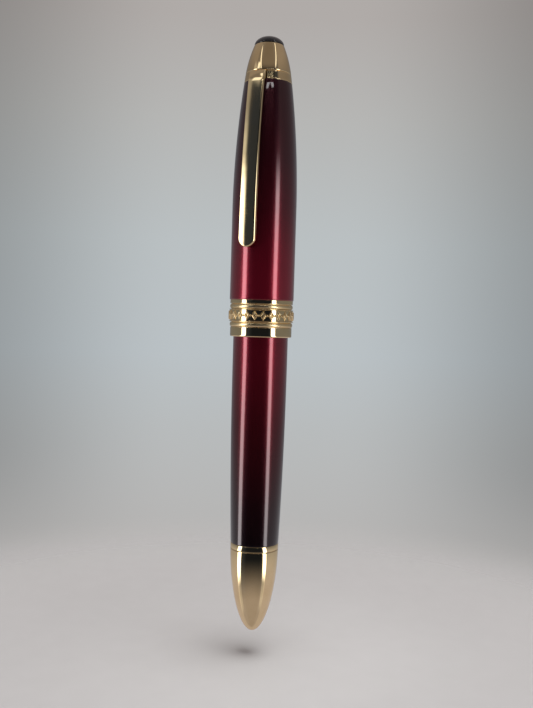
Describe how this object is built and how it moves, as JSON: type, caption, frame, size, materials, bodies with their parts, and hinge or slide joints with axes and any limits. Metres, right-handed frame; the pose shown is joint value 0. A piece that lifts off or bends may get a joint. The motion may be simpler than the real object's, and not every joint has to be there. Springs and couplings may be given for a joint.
{
  "type": "fountain pen",
  "caption": "Torpedo-shaped piston-filling fountain pen with lacquered metal barrel and screw cap, gold trim, spring clip, turning filling knob and gold nib.",
  "frame": {"origin": "the tip of the filling knob, on the pen's axis, where the capped pen stands in a holder", "axes": "+Z along the pen's axis from the filling knob's tip to the dome on the cap; the clip and the top of the nib face -Y; +X is to the right when looking at the clip"},
  "size_m": [0.0162, 0.0175, 0.146],
  "materials": {
    "lacquer": "deep burgundy lacquer over metal, high gloss",
    "gold_trim": "polished pale gold plate",
    "brass_works": "turned brass",
    "black_resin": "polished black resin",
    "ebonite": "satin black ebonite",
    "nib_gold": "polished gold with a rhodium-plated centre",
    "nib_pellet": "hard bright metal",
    "clear_resin": "clear grey resin with dark stripes",
    "piston_resin": "natural white plastic",
    "seal": "dark rubber",
    "liner": "black moulded plastic",
    "steel": "turned steel"
  },
  "bodies": {
    "barrel": {"barrel_end_ring": "gold_trim", "barrel_shell": "lacquer", "piston_housing": "brass_works", "housing_seal": "seal", "reservoir": "clear_resin", "thread_collar": "gold_trim", "section": "black_resin", "section_seal": "seal", "nib_collar": "ebonite", "feed": "ebonite", "nib": "nib_gold", "nib_tip": "nib_pellet"},
    "piston": {"piston_rod": "brass_works", "piston_head": "piston_resin", "piston_seal": "seal"},
    "thrust_washer": {"thrust_washer": "piston_resin"},
    "knob": {"knob_shell": "gold_trim", "knob_core": "brass_works", "spindle": "brass_works"},
    "inner_cap": {"inner_cap": "liner"},
    "cap": {"cap_shell": "lacquer", "cap_thread_bush": "brass_works", "lip_ring": "gold_trim", "lower_bead": "gold_trim", "frieze_ring": "gold_trim", "upper_bead": "gold_trim", "top_ring": "gold_trim", "cap_top_plug": "brass_works", "clip_ring": "gold_trim", "crown": "gold_trim", "crown_stud": "steel", "crown_dome": "black_resin"},
    "clip": {"clip_arm": "gold_trim"}
  },
  "joints": [
    {"name": "knob_out", "type": "slide", "parent": "barrel", "child": "thrust_washer", "axis": [0, 0, -1], "range_m": [0, 0.006]},
    {"name": "knob_turn", "type": "hinge", "parent": "thrust_washer", "child": "knob", "pos_m": [0, 0, 0.0208], "axis": [0, 0, 1], "range_deg": [0, 1440]},
    {"name": "piston_slide", "type": "slide", "parent": "barrel", "child": "piston", "axis": [0, 0, 1], "range_m": [0, 0.028]},
    {"name": "cap_pull", "type": "slide", "parent": "barrel", "child": "inner_cap", "axis": [0, 0, 1], "range_m": [0, 0.075]},
    {"name": "cap_turn", "type": "hinge", "parent": "inner_cap", "child": "cap", "pos_m": [0, 0, 0.0732], "axis": [0, 0, 1], "range_deg": [0, 450]},
    {"name": "clip_flex", "type": "hinge", "parent": "cap", "child": "clip", "pos_m": [0, -0.0054, 0.1367], "axis": [-1, 0, 0], "range_deg": [0, 3], "stiffness_Nm_per_rad": 0.5}
  ],
  "couplings": [
    {"joint": "knob_out", "follows": "knob_turn", "m_per_rad": 0.00023873},
    {"joint": "piston_slide", "follows": "knob_turn", "m_per_rad": 0.0011141}
  ]
}
